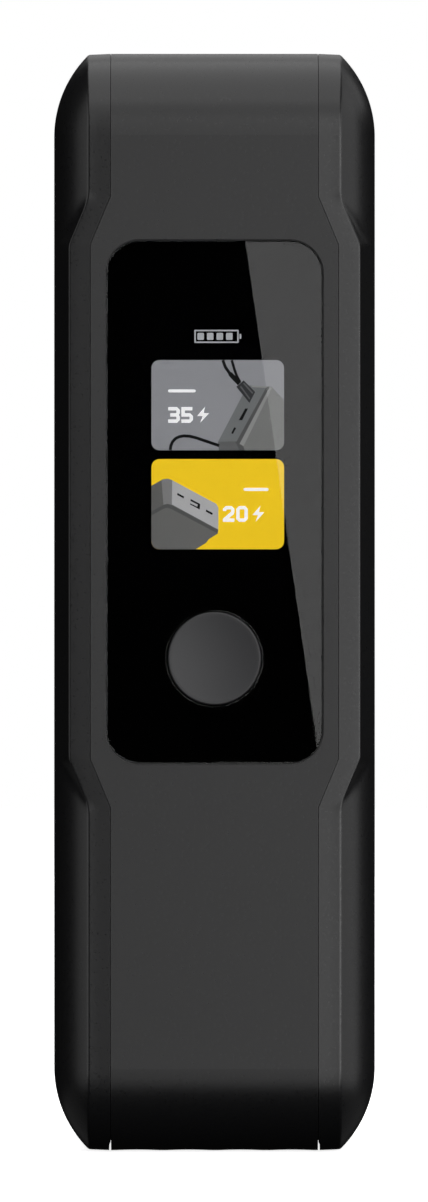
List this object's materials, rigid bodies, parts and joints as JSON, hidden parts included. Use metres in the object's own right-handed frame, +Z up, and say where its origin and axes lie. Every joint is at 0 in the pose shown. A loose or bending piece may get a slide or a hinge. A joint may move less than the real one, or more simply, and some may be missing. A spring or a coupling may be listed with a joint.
{
  "type": "portable power bank",
  "caption": "Slab-shaped portable battery pack with rounded long edges, a raised middle on its narrow sides, a black display window with a dished push button, and charging sockets on top.",
  "frame": {"origin": "middle of the base, on the surface the pack stands on", "axes": "+Z up along the height, towards the sockets; the display window faces -Y; the broad faces are towards -X and +X"},
  "size_m": [0.032, 0.068, 0.1094],
  "materials": {
    "case_plastic": "fine matte texture",
    "window_glass": "clear, polished, black printed behind",
    "button_plastic": "fine matte texture",
    "adhesive": "foam tape",
    "clear_adhesive": "clear film",
    "screen": "polished panel",
    "light_unit": "stamped metal back",
    "flex": "polyimide",
    "foam": "closed-cell foam",
    "circuit_board": "solder mask",
    "battery_board": "solder mask",
    "screw_steel": "zinc plated",
    "switch_plastic": "moulded",
    "contact_brass": "gold plated",
    "plunger_plastic": "moulded",
    "socket_steel": "nickel plated",
    "socket_plastic_light": "moulded",
    "socket_plastic_dark": "moulded",
    "ferrite": "pressed powder",
    "capacitor_can": "drawn can",
    "chip": "moulded",
    "thermal_silicone": "soft silicone",
    "spreader": "rolled sheet",
    "cell_pouch": "laminated pouch",
    "cell_nickel": "nickel strip",
    "lead_red": "silicone insulation",
    "lead_black": "silicone insulation",
    "cable_grey": "sheathed",
    "sensor_epoxy": "dipped epoxy",
    "fish_paper": "insulating card"
  },
  "bodies": {
    "case": {"centre_frame": "case_plastic", "left_cover": "case_plastic", "right_cover": "case_plastic", "cover_screws": "screw_steel", "display_glass": "window_glass", "glass_tape": "adhesive", "screen_adhesive": "clear_adhesive", "screen_panel": "screen", "screen_light": "light_unit", "screen_flex": "flex", "screen_foam": "foam", "display_board": "circuit_board", "display_screws": "screw_steel", "switch_body": "switch_plastic", "switch_dome": "contact_brass", "main_board": "circuit_board", "board_screws": "screw_steel", "usb_a_shell": "socket_steel", "usb_a_tongue": "socket_plastic_light", "usb_a_contacts": "contact_brass", "usb_c_shell_front": "socket_steel", "usb_c_tongue_front": "socket_plastic_dark", "usb_c_base_front": "socket_plastic_dark", "usb_c_shell_rear": "socket_steel", "usb_c_tongue_rear": "socket_plastic_dark", "usb_c_base_rear": "socket_plastic_dark", "inductor_front": "ferrite", "inductor_rear": "ferrite", "filter_capacitors": "capacitor_can", "charge_controller": "chip", "microcontroller": "chip", "power_mosfets": "chip", "thermal_pad": "thermal_silicone", "heat_spreader": "spreader", "display_socket": "socket_plastic_light", "main_socket": "socket_plastic_light", "display_cable": "cable_grey", "battery_cell_left": "cell_pouch", "battery_cell_right": "cell_pouch", "cell_tape": "adhesive", "cell_pad_left": "foam", "cell_pad_right": "foam", "cell_tabs": "cell_nickel", "protection_board": "battery_board", "protection_mosfet": "chip", "thermistor": "sensor_epoxy", "battery_lead_red": "lead_red", "battery_lead_black": "lead_black", "insulating_sheet": "fish_paper"},
    "button": {"button_cap": "button_plastic"},
    "plunger": {"switch_plunger": "plunger_plastic"}
  },
  "joints": [
    {"name": "button_press", "type": "slide", "parent": "case", "child": "button", "axis": [0, 1, 0], "range_m": [0, 0.0003], "stiffness_N_per_m": 1500, "springref_m": -0.0003},
    {"name": "plunger_press", "type": "slide", "parent": "case", "child": "plunger", "axis": [0, 1, 0], "range_m": [0, 0.0003]}
  ],
  "couplings": [
    {"joint": "plunger_press", "follows": "button_press", "ratio": 1}
  ]
}
